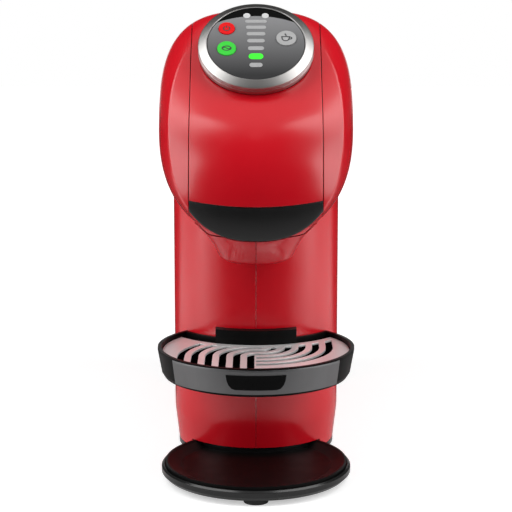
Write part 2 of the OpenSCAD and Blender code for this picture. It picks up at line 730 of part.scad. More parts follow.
module dial_button(at, r) on_dial(0) translate([at[0], at[1], 0]) {
    translate([0, 0, -2.2]) cylinder(h = 2.3, r = r, $fn = round_fn);
    translate([0, 0, -7.9 + button_travel + 0.2]) cylinder(h = 6, r = 2, $fn = 32);
}

module button_power() color("red") dial_button(power_at, power_r);

module button_boost() color("limegreen") dial_button(boost_at, boost_r);

module button_cup() color("lightgray") dial_button(cup_at, cup_r);

// ---------- injector ----------

slot_half = 4.2;

module carriage_arm_outline() {
    crank_y = hinge_y - crank_throw * cos(25);
    crank_z = hinge_z - crank_throw * sin(25);
    polygon([[crank_y + 5.6, crank_z - 3.6], [crank_y + 5.6, crank_z + 3.6], [crank_y - 8, crank_z + 3.6],
        [-70, carriage_z + 14], [-84, carriage_z + 12], [-84, carriage_z + 2], [-68, carriage_z + 3]]);
}

module injector_carriage() color("gray") difference() {
    union() {
        both_sides() side_plate(24.9, 28.1) carriage_arm_outline();
        block(-28, 28, -84, -68, carriage_z + 2, carriage_z + 7);
        for (x = [-rod_x, rod_x]) post(x, rod_y, carriage_z, carriage_z + 13, 5.5);
        post(0, rod_y, carriage_z, carriage_z + 22, 5.5);
        block(-9, 9, pod_y, -75, carriage_z + 2, carriage_z + 7);
        post(0, pod_y, carriage_z - 9, carriage_z + 8, 13);
    }
    for (x = [-rod_x, rod_x]) post(x, rod_y, 100, 300, rod_r + run);
    post(0, rod_y, carriage_z + 1, 300, 2.9);
    rod_along_y(0, carriage_z + 4.5, pod_y, rod_y, 1.2);
    post(0, pod_y, 100, carriage_z + 5, 1.5);
    // Slots of the crank pins
    crank_y = hinge_y - crank_throw * cos(25);
    crank_z = hinge_z - crank_throw * sin(25);
    both_sides() block(20, 40, crank_y - slot_half, crank_y + slot_half - 1, crank_z - 2, crank_z + 2);
}

module injector_needle() color(steel) difference() {
    union() {
        post(0, pod_y, holder_top + 4.5, carriage_z + 4, 1.46);
        translate([0, pod_y, holder_top + 2]) cylinder(h = 2.5, r1 = 0.2, r2 = 1.46, $fn = round_fn);
    }
    post(0, pod_y, holder_top + 4, carriage_z + 10, 0.7);
}

module injector_seal() color("#202020") difference() {
    union() {
        post(0, pod_y, carriage_z - 12.2, carriage_z - 9, 12);
        post(0, pod_y, carriage_z - 14, carriage_z - 12, 9);
    }
    post(0, pod_y, 100, 300, 1.6);
}

// ---------- pod holder ----------

// Section of the pod holder's ring, grown by g, with a slanted lower edge
module holder_profile(g) polygon([[0, -g], [holder_d / 2 - holder_slant + g, -g],
    [holder_d / 2 + g, holder_slant - g], [holder_d / 2 + g, holder_top - holder_low + g],
    [0, holder_top - holder_low + g]]);
module holder_form(g) translate([0, pod_y, holder_low]) rotate_extrude($fn = round_fn) holder_profile(g);
// Way along which that section slides out to the front
module holder_way(g) translate([0, pod_y, holder_low]) rotate([90, 0, 0]) linear_extrude(60) {
    holder_profile(g);
    mirror([1, 0, 0]) holder_profile(g);
}

module pod_holder() color(black) difference() {
    union() {
        holder_form(0);
        both_sides() block(20, 34.3, pod_y - 18, pod_y + 16, rail_z, rail_z + rail_t);
        block(-20, 20, front_y + 22, pod_y, holder_low + 0.5, holder_top - 3);
    }
    post(0, pod_y, holder_top - 2.4, holder_top + 10, pod_d / 2 + 0.4);
    post(0, pod_y, 100, 200, pod_d / 2 - 2.4);
    translate([0, pod_y, holder_low]) rotate_extrude($fn = round_fn)
        polygon([[0, -1], [pod_d / 2 - 2.4, -1], [pod_d / 2 - 2.4, 0], [pod_d / 2 + 1.6, holder_slant],
            [pod_d / 2 + 1.6, holder_top - holder_low - 8], [0, holder_top - holder_low - 8]]);
    // Clear of the front moulding
    difference() {
        block(-60, 60, -200, pod_y, 100, 200);
        head_form(7);
    }
}

// Everything inside the crease, seen from the front
module crease_zone() translate([0, 0, crease_z]) rotate([90, 0, 0]) linear_extrude(200)
    polygon([for (i = [0:ring_points - 1])
        oval(360 * i / ring_points, crease_w / 2, crease_up, crease_down, 2.4, 2.4)]);

module front_moulding() difference() {
    intersection() {
        head_form();
        block(-flap_half, flap_half, -200, mouth_y, 140, flap_low + 6);
    }
    head_form(6.7);
    // Curved upper edge under the flap
    translate([0, -300, flap_low + edge_r - seam]) rotate([-90, 0, 0])
        cylinder(h = 400, r = edge_r, $fn = 180);
    block(-60, 60, -132.2, 0, 0, holder_low);
}

module pod_front() color(black) intersection() {
    front_moulding();
    crease_zone();
}

// Chin of the front moulding: outside the crease, and down to the spout cover
module pod_lip() color(red) difference() {
    union() {
        front_moulding();
        intersection() {
            difference() {
                bowl(0);
                bowl(wall);
                head_form(1.2);
            }
            holder_way(0);
            block(-40, 40, mouth_y - 18, mouth_y + 1, 100, 200);
        }
    }
    crease_zone();
}

// ---------- drip tray ----------

module column_cutter(g) translate([0, column_y, 0]) cylinder(h = 200, r = column_r + g, $fn = round_fn);

// Outline of the tray's wall, drawn in by t
module tray_section(t, top) polygon([[0, t], [tray_r - 7, t], [tray_r - 4.2 - t * 0.6, 0.9 + t * 0.8],
    [tray_r - 2.6 - t, 3.4 + t * 0.3], [tray_r - 0.3 - t, tray_h - 1.5], [tray_r - 0.3 - t, top], [0, top]]);

module drip_tray() color(black) difference() {
    union() {
        difference() {
            translate([0, tray_y, tray_low]) rotate_extrude($fn = round_fn) tray_section(0, tray_h);
            difference() {
                translate([0, tray_y, tray_low]) rotate_extrude($fn = round_fn)
                    tray_section(tray_wall, tray_h + 5);
                column_cutter(gap + tray_wall);
            }
        }
        // Raised tongue that carries the magnets
        intersection() {
            difference() {
                column_cutter(gap + 6);
                translate([0, 0, tray_z + 6]) column_cutter(20);
            }
            block(-24, 24, -120, -60, tray_low + 0.5, 200);
        }
    }
    column_cutter(gap);
    tray_band();
    for (x = [-1, 1]) rotate_magnet(x) rod_along_y(0, tray_z - 6, -column_r - gap - 4, -column_r + 5, 4.05);
}

module rotate_magnet(side) translate([0, column_y, 0]) rotate([0, 0, side * magnet_x]) children();

module tray_magnets() color(steel) for (x = [-1, 1]) rotate_magnet(x)
    rod_along_y(0, tray_z - 6, -column_r - gap - 3.9, -column_r - gap - 0.9, 4);

// Metal band round the front of the tray
band_foot = [tray_r - 1.9, 2.6];
band_head = [tray_r, tray_h - 1.6];
module tray_band() color("gray") translate([0, tray_y, tray_low]) rotate([0, 0, -90 - band_half])
    rotate_extrude(angle = 2 * band_half, $fn = round_fn)
        polygon([band_foot - [0.9, 0], band_foot, band_head, band_head + [0, 0.8], band_head + [-1.1, 0.8]]);

module badge_plate() color("#18181a") intersection() {
    translate([0, tray_y, tray_low]) rotate([0, 0, -90 - 25]) rotate_extrude(angle = 50, $fn = round_fn)
        polygon([band_foot, band_foot + [0.5, 0], band_head + [0.5, 0], band_head]);
    translate([0, tray_y, tray_low]) rotate([90, 0, 0]) linear_extrude(80)
        for (side = [-1, 1]) polygon([for (p = [[0, 3.9], [16.7, 3.9], [16.3, 6.9], [15.3, 9.6], [13.5, 11.6],
            [11.5, 12.2], [0, 12.2]]) [side * p[0], tray_h - p[1]]]);
}

grid_z = tray_z - 3.6;
// The grid fits inside the tray's sloping wall
wall_rise = (grid_z - tray_low - 3.4 - tray_wall * 0.3) / (tray_h - 4.9 - tray_wall * 0.3);
grid_r = tray_r - 2.6 - tray_wall + 2.3 * wall_rise - gap;
grid_y = tray_y - 5;
slot_w = 4.2;
slot_pitch = 8;
slot_first = 3;
slots = 6;
bend_y = -slot_first - slot_pitch;

// One side of a slot: up the left of the grid, round towards its middle and, for the
// inner slots, on round to the right half
function slot_side(i, s) = let (x = slot_first + slot_pitch * i, across = -2 * bend_y - x) concat(
    [[-x - s, bend_y - 100]],
    [for (a = [0:7.5:90]) [-(x + s) * cos(a), bend_y + (x + s) * sin(a)]],
    across > 0 ? concat(
        [for (a = [82.5:-7.5:0]) [(across - s) * cos(a), -bend_y - (across - s) * sin(a)]],
        [[across - s, 100 - bend_y]]) : []);
module grid_slot(i) {
    one = slot_side(i, slot_w / 2);
    two = slot_side(i, -slot_w / 2);
    polygon(concat(one, [for (k = [len(two) - 1:-1:0]) two[k]]));
}

module drip_grid() color(steel) difference() {
    translate([0, tray_y, grid_z]) cylinder(h = grid_t, r = grid_r, $fn = round_fn);
    translate([0, grid_y, 0]) linear_extrude(200) intersection() {
        union() {
            for (i = [0:slots - 1]) grid_slot(i);
            for (i = [3:slots - 1]) rotate(180) grid_slot(i);
        }
        difference() {
            translate([0, tray_y - grid_y]) circle(grid_r - 3.5, $fn = round_fn);
            translate([0, column_y - grid_y]) circle(column_r + 12, $fn = round_fn);
        }
    }
    column_cutter(gap + 6.6);
}

// ---------- water tank ----------

module tank_plan(t)
    round_rect(t - tank_w / 2, tank_w / 2 - t, body_back + 3 + t, body_back + 3 + tank_depth - t, 12 - t);

lid_r = 2.6;
lid_y = body_back + 3 + tank_depth - lid_r - 0.6;
lid_z = tank_low + tank_h + gap + lid_r;
deck_y = lid_y - 3;         // front of the deck behind the lid
module lid_axis(x0, x1, r) rod_along_x(lid_y, lid_z, x0, x1, r);

module water_tank() color([0.7, 0.8, 0.85, 0.5]) difference() {
    union() {
        difference() {
            translate([0, 0, tank_low]) linear_extrude(tank_h) tank_plan(0);
            translate([0, 0, tank_low + tank_wall]) linear_extrude(tank_h) tank_plan(tank_wall);
        }
        translate([0, 0, tank_low + tank_h - tank_wall]) linear_extrude(tank_wall) intersection() {
            tank_plan(0.5);
            translate([-60, deck_y]) square([120, 20]);
        }
        // Ears of the lid's pin
        both_sides() {
            block(30, 34, lid_y - lid_r, lid_y + lid_r, tank_low + tank_h - 2, lid_z);
            lid_axis(30, 34, lid_r);
        }
    }
    post(0, valve_y, 0, 60, 5);
    lid_axis(-60, 60, lid_pin_r + 0.02);
}

lid_pin_r = 1.2;

module tank_valve() color(black) difference() {
    union() {
        post(0, valve_y, tank_low - 8, tank_low + 10, 4.6);
        post(0, valve_y, tank_low + tank_wall + 0.1, tank_low + 5, 8);
    }
    post(0, valve_y, 0, 60, 2);
}

module tank_seal() color("#101010") difference() {
    post(0, valve_y, tank_low - 6, tank_low - 3, 6.6);
    post(0, valve_y, 0, 60, 4.6);
}

module lid_pin() color(steel) lid_axis(-34, 34, lid_pin_r);

module tank_lid() color(black) difference() {
    union() {
        translate([0, 0, tank_low + tank_h + gap]) linear_extrude(lid_r) intersection() {
            tank_plan(0.2);
            translate([-60, 0]) square([120, deck_y - gap]);
        }
        translate([-29.5, deck_y - 2, tank_low + tank_h + gap]) cube([59, lid_y - deck_y + 2, lid_r]);
        lid_axis(-29.5, 29.5, lid_r);
    }
    lid_axis(-60, 60, lid_pin_r + run);
}

base_frame();
base_dish();
rubber_feet();
shell_left();
shell_right();
back_cover();
tank_seat();
cable_gland();
chassis();
head_frame();
spout_cover();
pump_body();
pump_coil();
pump_mounts();
flow_meter();
heater_block();
heater_ports();
thermostat();
suction_hose();
pump_hose();
brew_hose();
control_board();
board_parts();
steel_strip();
guide_rods();
water_nozzle();
hinge_pin();
flap_spring();
body_screws();
frame_screws();
flap_cover();
flap_frame();
dial_carrier();
display_panel();
display_board();
level_bars();
status_lamps();
dial_ring();
button_power();
button_boost();
button_cup();
injector_carriage();
injector_needle();
injector_seal();
pod_holder();
pod_front();
pod_lip();
drip_tray();
tray_band();
badge_plate();
tray_magnets();
drip_grid();
water_tank();
tank_valve();
tank_seal();
lid_pin();
tank_lid();
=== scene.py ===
"""Pod coffee machine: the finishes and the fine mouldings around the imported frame."""

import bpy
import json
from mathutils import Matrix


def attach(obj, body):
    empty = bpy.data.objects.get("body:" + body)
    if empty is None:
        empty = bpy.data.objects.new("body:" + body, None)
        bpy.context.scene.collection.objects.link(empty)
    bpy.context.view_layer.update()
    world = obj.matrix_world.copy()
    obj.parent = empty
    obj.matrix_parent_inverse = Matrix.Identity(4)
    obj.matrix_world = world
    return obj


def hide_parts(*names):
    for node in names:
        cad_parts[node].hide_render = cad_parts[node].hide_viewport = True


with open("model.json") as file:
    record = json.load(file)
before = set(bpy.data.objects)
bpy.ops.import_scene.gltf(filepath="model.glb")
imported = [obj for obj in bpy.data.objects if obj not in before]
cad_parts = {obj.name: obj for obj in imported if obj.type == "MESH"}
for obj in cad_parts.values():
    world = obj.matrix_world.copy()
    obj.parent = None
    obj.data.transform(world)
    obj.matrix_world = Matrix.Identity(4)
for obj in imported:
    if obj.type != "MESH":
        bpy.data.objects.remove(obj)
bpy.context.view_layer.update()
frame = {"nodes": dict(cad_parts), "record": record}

import json
import math

import bmesh
import bpy
from mathutils import Matrix, Vector
from mathutils.bvhtree import BVHTree

NODES = frame["nodes"]
MM = 0.001

# ---------- sizes in millimetres, the same as the frame's ----------
HEAD_W, HEAD_Z, HEAD_UP, HEAD_DOWN = 112.0, 207.0, 63.5, 62.0
HEAD_Y, HEAD_LEAN = -85.0, 0.4245
NOSE_R, CREASE_W, CREASE_UP, CREASE_DOWN = 61.0, 98.0, 56.0, 63.5
CREASE_Z = HEAD_Z + 3
WALL, GAP, SEAM = 2.4, 0.3, 0.4
FRONT_Y = -156.0
COLUMN_W, COLUMN_BACK, COLUMN_Z, BODY_BACK = 101.2, 124.0, 11.0, 95.0
FOOT_H, BASE_Y, BASE_R = 3.0, -101.0, 55.5
SKIRT_Z = FOOT_H + 3.1
COLUMN_R, COLUMN_Y = COLUMN_W / 2, FRONT_Y + COLUMN_BACK
CONE_LEVEL, CONE_IN = 26.0, 2.3
FLAP_HALF, BARREL_R = 36.9, 24.0
SEAM_HALF = FLAP_HALF + SEAM
FLAP_LOW, EDGE_R = 166.5, 275.0
NOSE_Y, NOSE_Z = -142 + NOSE_R, 171.9
DIAL_TILT = math.radians(46.4)
DIAL_UP, DIAL_H, DIAL_D, DISPLAY_D = 46.2, 7.8, 65.8, 55.1
FLAT_Y = NOSE_Y - NOSE_R * math.cos(DIAL_TILT)
FLAT_Z = NOSE_Z + NOSE_R * math.sin(DIAL_TILT)
HINGE_Y, HINGE_Z = -14.0, HEAD_Z + HEAD_UP * 0.957 - BARREL_R
POD_Y, HOLDER_D, HOLDER_LOW, MOUTH_Y = FRONT_Y + 50, 62.0, 148.5, -116.0
HOLDER_SLANT, HOLDER_TOP = 4.0, FLAP_LOW - 0.6
BOWL_R, BOWL_Z, BOWL_H = 35.0, 131.0, 26.0
FRONT_T = 6.7  # thickness of the pod holder's front
LIP_INSET = 1.2  # of the lip under the head's surface
SHELL_SPLIT, COVER_SPLIT = 0.12, 0.14  # from the middle to an edge of a split
DIAL_AT = Vector((0, FLAT_Y + DIAL_UP * math.sin(DIAL_TILT), FLAT_Z + DIAL_UP * math.cos(DIAL_TILT)))
DIAL_AXIS = Vector((0, -math.cos(DIAL_TILT), math.sin(DIAL_TILT)))
DIAL_TOP = DIAL_AT + DIAL_AXIS * DIAL_H
RING_BORE = DISPLAY_D / 2 + GAP
POWER_AT = (10.85 - DISPLAY_D / 2, 11.4)
BOOST_AT = (10.95 - DISPLAY_D / 2, -4.2)
CUP_AT = (DISPLAY_D / 2 - 10.35, 3.7)

# ---------- plain maths ----------


def mix(a, b, k):
    return a + (b - a) * k


def smooth(k):
    c = min(1.0, max(0.0, k))
    return c * c * (3 - 2 * c)


def steps(a, b, n):
    return [a + (b - a) * i / (n - 1) for i in range(n)]


def signed_power(v, e):
    return math.copysign(abs(v) ** e, v)


def oval(a, w, up, down, n_up, n_down):
    n, h = (n_up, up) if math.sin(a) >= 0 else (n_down, down)
    return w * signed_power(math.cos(a), 2 / n), h * signed_power(math.sin(a), 2 / n)


def bend(a, b, c, k):
    """Point on the curve from a to c that is pulled towards b."""
    return a * (1 - k) ** 2 + b * 2 * k * (1 - k) + c * k**2


# ---------- meshes ----------

scraps = []


def mesh_object(name, points, faces, scrap=False):
    mesh = bpy.data.meshes.new(name)
    mesh.from_pydata([(p[0] * MM, p[1] * MM, p[2] * MM) for p in points], [], faces)
    mesh.update()
    piece = bpy.data.objects.new(name, mesh)
    bpy.context.scene.collection.objects.link(piece)
    if scrap:
        scraps.append(piece)
    return piece


def ring_mesh(name, rings, scrap=True):
    """Closed solid through rings of points, with a fan at either end."""
    n, m = len(rings[0]), len(rings)
    points = [p for ring in rings for p in ring]
    faces = []
    for i in range(m - 1):
        for j in range(n):
            k = (j + 1) % n
            faces.append((i * n + j, i * n + k, (i + 1) * n + k, (i + 1) * n + j))
    for ring, start, turn in ((rings[0], 0, -1), (rings[-1], (m - 1) * n, 1)):
        points.append(sum((Vector(p) for p in ring), Vector()) / n)
        hub = len(points) - 1
        for j in range(n):
            edge = (start + j, start + (j + 1) % n)
            faces.append((hub, *edge) if turn > 0 else (hub, *reversed(edge)))
    piece = mesh_object(name, points, faces, scrap)
    fix_normals(piece)
    return piece


def fix_normals(piece):
    work = bmesh.new()
    work.from_mesh(piece.data)
    bmesh.ops.recalc_face_normals(work, faces=work.faces)
    if work.calc_volume(signed=True) < 0:
        bmesh.ops.reverse_faces(work, faces=work.faces)
    work.to_mesh(piece.data)
    work.free()


def prism_x(outline, x0, x1):
    """Solid cut from an outline in the Y-Z plane."""
    n = len(outline)
    points = [(x, y, z) for x in (x0, x1) for y, z in outline]
    faces = [tuple(range(n)), tuple(range(2 * n - 1, n - 1, -1))]
    faces += [(i, (i + 1) % n, n + (i + 1) % n, n + i) for i in range(n)]
    piece = mesh_object("cutter", points, faces, True)
    fix_normals(piece)
    return piece


def block(x0, x1, y0, y1, z0, z1):
    return prism_x([(y0, z0), (y1, z0), (y1, z1), (y0, z1)], x0, x1)


def rod(start, axis, length, r, sides=256):
    """Round bar from a point along an axis."""
    axis = Vector(axis).normalized()
    u = axis.orthogonal().normalized()
    v = axis.cross(u)
    start = Vector(start)
    turns = [math.tau * i / sides for i in range(sides)]
    rim = [r * (math.cos(a) * u + math.sin(a) * v) for a in turns]
    return ring_mesh("cutter", [[start + axis * h + spoke for spoke in rim] for h in (0, length)])


def settle(piece):
    """Turns a piece's modifiers into its mesh."""
    graph = bpy.context.evaluated_depsgraph_get()
    mesh = bpy.data.meshes.new_from_object(piece.evaluated_get(graph))
    piece.modifiers.clear()
    piece.data = mesh


def carve(piece, operation, *cutters):
    for cutter in cutters:
        step = piece.modifiers.new("cut", "BOOLEAN")
        step.operation = operation
        step.object = cutter
        step.solver = "MANIFOLD"
        settle(piece)
    return piece


def copy_of(piece, name="copy", scrap=True):
    twin = bpy.data.objects.new(name, piece.data.copy())
    bpy.context.scene.collection.objects.link(twin)
    if scrap:
        scraps.append(twin)
    return twin


def surface_of(piece):
    """Search tree and corner directions of a smooth form, for shading pieces cut from it."""
    mesh = piece.data
    mesh.calc_loop_triangles()
    points = [v.co.copy() for v in mesh.vertices]
    faces = [tuple(p.vertices) for p in mesh.polygons]
    return BVHTree.FromPolygons(points, faces), points, faces, [v.normal.copy() for v in mesh.vertices]


def blended_normal(surface, at):
    """Direction of a form's surface at its nearest point, and how far off that point is."""
    tree, points, faces, normals = surface
    spot, _, index, distance = tree.find_nearest(at)
    corners = faces[index]
    weights = [1 / ((points[c] - spot).length_squared + 1e-12) for c in corners]
    total = Vector()
    for weight, corner in zip(weights, corners):
        total += normals[corner] * weight
    return total.normalized(), distance


def shade_like(piece, surfaces, angle=30.0, reach=0.03):
    """Smooth shading in which faces that lie on a form take that form's directions."""
    mesh = piece.data
    for polygon in mesh.polygons:
        polygon.use_smooth = True
    mesh.set_sharp_from_angle(angle=math.radians(angle))
    custom = [c.vector.copy() for c in mesh.corner_normals]
    for polygon in mesh.polygons:
        centre = polygon.center
        for surface in surfaces:
            found, distance = blended_normal(surface, centre)
            if distance > reach * MM * 3 or abs(found.dot(polygon.normal)) < 0.9:
                continue
            for loop in polygon.loop_indices:
                at = mesh.vertices[mesh.loops[loop].vertex_index].co
                exact = blended_normal(surface, at)[0]
                custom[loop] = exact if exact.dot(polygon.normal) > 0 else -exact
            break
    mesh.normals_split_custom_set(custom)


# ---------- the red mouldings, as in the frame but finer ----------

RING_POINTS = 400
EASE = 1.2  # radius over which the crease is eased


def face_y(x, z):
    if z < FLAT_Z:
        y = NOSE_Y - math.sqrt(NOSE_R**2 - (z - NOSE_Z) ** 2)
    else:
        y = FLAT_Y + (z - FLAT_Z) * math.tan(DIAL_TILT)
    return y + x * x / (2 * mix(79, 260, smooth((z - 190) / 55)))


def head_line(a, t, back):
    """Points from the middle of the face, over the crease and back along the head, at one angle."""
    px, pz = oval(a, CREASE_W / 2 - t, CREASE_UP - t, CREASE_DOWN - t, 2.4, 2.4)

    def face(k):
        return Vector((k * px, face_y(k * px, CREASE_Z + k * pz) + t, CREASE_Z + k * pz))

    def wide(k):
        half = mix(HEAD_W / 2, COLUMN_R, k**1.3) - t
        up = HEAD_UP - 24.5 * k**1.2 - t
        x, z = oval(a, half, up, HEAD_DOWN - t, 3 + 0.6 * k, 2.4)
        return Vector((x, mix(HEAD_Y, back, k) + HEAD_LEAN * (1 - k) ** 1.5 * z, HEAD_Z + z))

    crease, rim = face(1), wide(0)
    pull = Vector((mix(crease.x, rim.x, 0.94), mix(crease.y, rim.y, 0.5), mix(crease.z, rim.z, 0.94)))

    def band(k):
        return bend(crease, pull, rim, k)

    inner = 1 - EASE / math.hypot(px, pz)
    outer = EASE / (2 * (pull - crease).length)
    line = [face(k) for k in steps(0.1, inner, 22)]
    line += [bend(face(inner), crease, band(outer), k) for k in steps(0.1, 0.9, 6)]
    line += [band(k) for k in steps(outer, 1, 16)]
    line += [wide(k) for k in steps(0, 1, 34)[1:]]
    return line


def head_form(t=0.0, back=BODY_BACK):
    lines = [head_line(math.tau * i / RING_POINTS, t, back) for i in range(RING_POINTS)]
    return ring_mesh("head", [list(ring) for ring in zip(*lines)])


def column_ring(t, back, z):
    r = COLUMN_R - t
    ring = [(r * math.cos(a), COLUMN_Y + r * math.sin(a), z) for a in steps(math.pi, math.tau, 241)]
    ring += [(r, y, z) for y in steps(COLUMN_Y, back, 33)[1:]]
    ring += [(x, back, z) for x in steps(r, -r, 33)[1:]]
    ring += [(-r, y, z) for y in steps(back, COLUMN_Y, 33)[1:-1]]
    return ring


def column_form(t=0.0, back=BODY_BACK, low=SKIRT_Z):
    levels = [(low, CONE_IN), (low + 0.2, CONE_IN)]
    turn = 3.0
    slope = CONE_IN / (CONE_LEVEL - SKIRT_Z - 0.2)
    for k in steps(0, 1, 7):
        z = mix(CONE_LEVEL - turn, CONE_LEVEL + turn, k)
        levels.append((z, slope * turn * (1 - k) ** 2))
    levels += [(z, 0.0) for z in steps(CONE_LEVEL + 6, HEAD_Z - 1, 50)]
    return ring_mesh("column", [column_ring(t + inset, back, z) for z, inset in levels])


def flap_zone(g):
    half = FLAP_HALF + g
    outline = [(-200, FLAP_LOW - 6), (-95, FLAP_LOW - 6), (-70, HEAD_Z)]
    outline += [(HINGE_Y - BARREL_R * 0.6, HINGE_Z), (HINGE_Y, HINGE_Z), (HINGE_Y, 300), (-200, 300)]
    zone = prism_x(outline, -half, half)
    carve(zone, "UNION", rod((-half, HINGE_Y, HINGE_Z), (1, 0, 0), 2 * half, BARREL_R + g))
    under = block(-100, 100, -300, 100, FLAP_LOW - 60, FLAP_LOW + 20)
    carve(under, "DIFFERENCE", rod((0, -310, FLAP_LOW + EDGE_R - g), (0, 1, 0), 420, EDGE_R, 1440))
    return carve(zone, "DIFFERENCE", under)


def bowl_form(t):
    """Bowl round the pod's axis that runs straight back to the column."""
    profile = [(0.01, t), (17 - t / 2, t), (21 - t, 2.6 + 0.6 * t), (25.3 - t, 10.9), (29.8 - t, 16.4)]
    profile += [(BOWL_R - t, 21.8), (BOWL_R - t, BOWL_H)]
    rings = []
    for r, height in profile:
        z = BOWL_Z + height
        ring = [(r * math.cos(a), POD_Y + r * math.sin(a), z) for a in steps(math.pi, math.tau, 161)]
        rings.append(ring + [(x, POD_Y + 40, z) for x in steps(r, -r, 17)])
    return ring_mesh("bowl", rings)


def holder_way(g, lift=0.0):
    """Room in which the pod holder's ring slides out."""
    low, high, half = -g, HOLDER_TOP - HOLDER_LOW + g, HOLDER_D / 2 + g
    outline = [(half - HOLDER_SLANT, low), (half, HOLDER_SLANT - g), (half, high)]
    outline += [(-x, z) for x, z in reversed(outline)]
    low_z = HOLDER_LOW + lift
    return ring_mesh("cutter", [[(x, y, low_z + z) for x, z in outline] for y in (POD_Y - 60, POD_Y)])


def build_shells(head, column, surfaces):
    body = copy_of(head)
    carve(body, "UNION", column)
    inner_back = BODY_BACK + 5
    carve(
        body,
        "DIFFERENCE",
        head_form(WALL, inner_back),
        column_form(WALL, inner_back, SKIRT_Z - 0.1),
        rod((0, BASE_Y, 0), (0, 0, 1), COLUMN_Z, BASE_R + GAP),
        block(-80, 80, BODY_BACK - 3, BODY_BACK + 20, 0, 300),
        flap_zone(SEAM),
        block(-SEAM_HALF, SEAM_HALF, -200, MOUTH_Y - 2, HOLDER_LOW - 10, FLAP_LOW + 6),
        block(-SEAM_HALF, SEAM_HALF, MOUTH_Y - 3, COLUMN_Y - 44, HOLDER_LOW - 1.6, FLAP_LOW + 6),
        rod((0, POD_Y, HOLDER_LOW - 8), (0, 0, 1), 16, HOLDER_D / 2 - 1),
        block(1 - HOLDER_D / 2, HOLDER_D / 2 - 1, POD_Y, COLUMN_Y - 30, HOLDER_LOW - 8, HOLDER_LOW + 8),
    )
    for side, name, node in ((-1, "left_moulding", "shell_left"), (1, "right_moulding", "shell_right")):
        half = copy_of(body, name, scrap=False)
        carve(half, "INTERSECT", block(*sorted((side * SHELL_SPLIT, side * 80)), -200, 200, 0, 300))
        shade_like(half, surfaces)
        finish_piece(half, red_plastic(), "root", "red_gloss", node)


def build_flap(head, surfaces):
    flap = copy_of(head, "flap_moulding", scrap=False)
    hollow = head_form(WALL)
    barrel = rod((-60, HINGE_Y, HINGE_Z), (1, 0, 0), 120, BARREL_R + 5)
    carve(
        barrel,
        "DIFFERENCE",
        rod((-61, HINGE_Y, HINGE_Z), (1, 0, 0), 122, BARREL_R - WALL),
        block(-61, 61, -200, HINGE_Y, 0, 300),
        prism_x([(HINGE_Y, HINGE_Z), (HINGE_Y + 60, HINGE_Z + 30), (80, 0), (-200, 0)], -61, 61),
    )
    carve(hollow, "DIFFERENCE", barrel)
    carve(flap, "DIFFERENCE", hollow)
    carve(flap, "INTERSECT", flap_zone(0))
    carve(
        flap,
        "DIFFERENCE",
        rod(DIAL_TOP - DIAL_AXIS * 26, DIAL_AXIS, 40, DIAL_D / 2 - 0.5),
        block(-80, 80, -112, 40, 100, 200),
    )
    hinge = surface_of(rod((-FLAP_HALF, HINGE_Y, HINGE_Z), (1, 0, 0), 2 * FLAP_HALF, BARREL_R))
    shade_like(flap, surfaces + [hinge])
    finish_piece(flap, red_plastic(), "flap", "red_gloss", "flap_cover")


def build_holder_front(head, bowl, surfaces):
    """Black front of the pod holder, and the red lip beside and under it."""
    front = copy_of(head)
    carve(front, "INTERSECT", block(-FLAP_HALF, FLAP_HALF, -200, MOUTH_Y, 140, FLAP_LOW + 6))
    carve(
        front,
        "DIFFERENCE",
        head_form(FRONT_T),
        rod((0, -310, FLAP_LOW + EDGE_R - SEAM), (0, 1, 0), 420, EDGE_R, 1440),
        block(-60, 60, -132.2, 0, 0, HOLDER_LOW),
    )
    turns = [math.tau * i / RING_POINTS for i in range(RING_POINTS)]
    crease = [oval(a, CREASE_W / 2, CREASE_UP, CREASE_DOWN, 2.4, 2.4) for a in turns]
    inside = ring_mesh("cutter", [[(x, y, CREASE_Z + z) for x, z in crease] for y in (-200, 0)])
    crescent = copy_of(front, "pod_holder_moulding", scrap=False)
    carve(crescent, "INTERSECT", inside)
    shade_like(crescent, surfaces)
    finish_piece(crescent, black_gloss(), "holder", "black_gloss", "pod_front")

    skirt = copy_of(bowl)
    carve(skirt, "DIFFERENCE", bowl_form(WALL), head_form(LIP_INSET))
    carve(skirt, "INTERSECT", holder_way(0), block(-40, 40, MOUTH_Y - 18, MOUTH_Y + 1, 100, 200))
    chin = copy_of(front, "pod_holder_chin", scrap=False)
    carve(chin, "UNION", skirt)
    carve(chin, "DIFFERENCE", inside)
    shade_like(chin, surfaces + [surface_of(bowl)])
    finish_piece(chin, red_plastic(), "holder", "red_gloss", "pod_lip")


def build_spout_cover(bowl):
    cover = copy_of(bowl, "spout_moulding", scrap=False)
    low = HOLDER_LOW - 3 * GAP
    carve(
        cover,
        "DIFFERENCE",
        bowl_form(WALL),
        rod((0, COLUMN_Y, 100), (0, 0, 1), 80, COLUMN_R + GAP),
        head_form(-GAP),
        holder_way(GAP, -2 * GAP),
        rod((0, POD_Y, low), (0, 0, 1), 60, HOLDER_D / 2 - HOLDER_SLANT + GAP),
        rod((0, POD_Y, 100), (0, 0, 1), 60, 16),
        block(-COVER_SPLIT, COVER_SPLIT, -200, POD_Y - 16.4, 100, 200),
    )
    shade_like(cover, [surface_of(bowl)])
    finish_piece(cover, red_plastic(), "root", "red_gloss", "spout_cover")


def build_red_skins():
    head, column = head_form(), column_form()
    surfaces = [surface_of(head), surface_of(column)]
    build_shells(head, column, surfaces)
    build_flap(head, surfaces)
    bowl = bowl_form(0)
    build_holder_front(head, bowl, surfaces)
    build_spout_cover(bowl)


# ---------- the dial ----------


def on_dial(piece):
    """Sets a piece made in the dial's own place, with Z along its axis, on the machine."""
    across = Matrix.Rotation(math.pi / 2 - DIAL_TILT, 4, "X")
    piece.matrix_world = Matrix.Translation(DIAL_TOP * MM) @ across
    return piece


